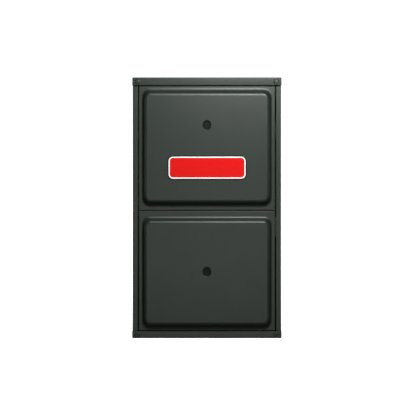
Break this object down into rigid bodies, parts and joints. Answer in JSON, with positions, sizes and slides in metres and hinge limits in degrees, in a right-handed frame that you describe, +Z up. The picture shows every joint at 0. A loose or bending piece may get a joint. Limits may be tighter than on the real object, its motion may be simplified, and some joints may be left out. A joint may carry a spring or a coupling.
{
  "type": "forced air gas furnace",
  "caption": "Upright sheet-metal gas furnace cabinet with raised-field lift-off doors, blank nameplate, burners, heat exchanger, draft inducer, blower and controls inside.",
  "frame": {"origin": "centre of the footprint (bounding box) at floor level, under the base tray", "axes": "+Z up, the doors face -Y, +X to the right as seen from the front"},
  "size_m": [0.502, 0.746, 0.8763],
  "materials": {
    "cabinet_paint": "satin powder coat",
    "galvanised_steel": "galvanised, satin",
    "aluminised_steel": "aluminised, satin",
    "dark_steel": "satin",
    "motor_black": "satin",
    "bare_steel": "bright",
    "cast_aluminium": "as cast",
    "brass": "machined",
    "black_plastic": "matte",
    "dark_plastic": "matte",
    "red_plastic": "gloss",
    "white_plastic": "gloss",
    "cream_plastic": "matte",
    "nameplate_red": "gloss",
    "board_green": "satin",
    "rubber_black": "matte",
    "wire_insulation": "satin",
    "dark_glass": "gloss",
    "ceramic": "matte",
    "foil_liner": "foil-faced fibre"
  },
  "bodies": {
    "casing": {"base_tray": "cabinet_paint", "top_cap": "cabinet_paint", "left_side_panel": "cabinet_paint", "right_side_panel": "cabinet_paint", "back_panel": "cabinet_paint", "header_rail": "cabinet_paint", "blower_deck": "galvanised_steel", "burner_wall": "galvanised_steel", "heat_section_liner": "foil_liner", "cap_screws": "cabinet_paint", "casing_screws": "bare_steel", "hole_plugs": "black_plastic", "exchanger_tubes": "aluminised_steel", "exchanger_support": "galvanised_steel", "collector_box": "dark_steel", "burner_box": "galvanised_steel", "inshot_burners": "aluminised_steel", "gas_manifold": "dark_steel", "burner_orifices": "brass", "gas_valve": "cast_aluminium", "igniter": "ceramic", "flame_sensor": "ceramic", "inducer_housing": "dark_steel", "inducer_motor": "motor_black", "flue_pipe": "galvanised_steel", "pressure_switch": "cream_plastic", "pressure_hose": "rubber_black", "limit_switch": "bare_steel", "rollout_switches": "dark_plastic", "blower_housing": "galvanised_steel", "blower_motor": "motor_black", "motor_mount": "galvanised_steel", "blower_capacitor": "bare_steel", "control_bracket": "galvanised_steel", "control_board": "board_green", "board_relays": "dark_plastic", "board_connectors": "cream_plastic", "transformer": "dark_steel", "junction_box": "galvanised_steel", "junction_box_cover": "galvanised_steel", "door_switch": "black_plastic", "wiring_harness": "wire_insulation"},
    "upper_door": {"upper_door": "cabinet_paint", "upper_sight_glass": "dark_glass", "upper_sight_gasket": "rubber_black", "nameplate_base": "black_plastic", "nameplate_border": "white_plastic", "nameplate_face": "nameplate_red"},
    "lower_door": {"lower_door": "cabinet_paint", "lower_sight_glass": "dark_glass", "lower_sight_gasket": "rubber_black"},
    "blower_rotor": {"blower_wheel": "galvanised_steel", "blower_shaft": "bare_steel"},
    "inducer_rotor": {"inducer_wheel": "aluminised_steel", "inducer_shaft": "bare_steel", "inducer_cooling_fan": "black_plastic"},
    "valve_knob": {"gas_valve_knob": "black_plastic"},
    "left_reset": {"left_reset_button": "red_plastic"},
    "right_reset": {"right_reset_button": "red_plastic"},
    "switch_plunger": {"door_switch_plunger": "red_plastic"}
  },
  "joints": [
    {"name": "upper_door_slide", "type": "slide", "parent": "casing", "child": "upper_door", "axis": [0, -1, 0], "range_m": [0, 0.4]},
    {"name": "lower_door_slide", "type": "slide", "parent": "casing", "child": "lower_door", "axis": [0, -1, 0], "range_m": [0, 0.4]},
    {"name": "blower_spin", "type": "hinge", "parent": "casing", "child": "blower_rotor", "pos_m": [0, 0.095, 0.205], "axis": [1, 0, 0], "continuous": true},
    {"name": "inducer_spin", "type": "hinge", "parent": "casing", "child": "inducer_rotor", "pos_m": [0.095, -0.25, 0.5302], "axis": [0, 1, 0], "continuous": true},
    {"name": "valve_knob_turn", "type": "hinge", "parent": "casing", "child": "valve_knob", "pos_m": [-0.172, -0.34, 0.605], "axis": [0, -1, 0], "range_deg": [0, 90]},
    {"name": "left_reset_press", "type": "slide", "parent": "casing", "child": "left_reset", "axis": [0, 1, 0], "range_m": [0, 0.0015], "stiffness_N_per_m": 600},
    {"name": "right_reset_press", "type": "slide", "parent": "casing", "child": "right_reset", "axis": [0, 1, 0], "range_m": [0, 0.0015], "stiffness_N_per_m": 600},
    {"name": "switch_plunger_slide", "type": "slide", "parent": "casing", "child": "switch_plunger", "axis": [0, -1, 0], "range_m": [0, 0.004]}
  ],
  "couplings": [
    {"joint": "switch_plunger_slide", "follows": "lower_door_slide", "ratio": 0.01}
  ]
}
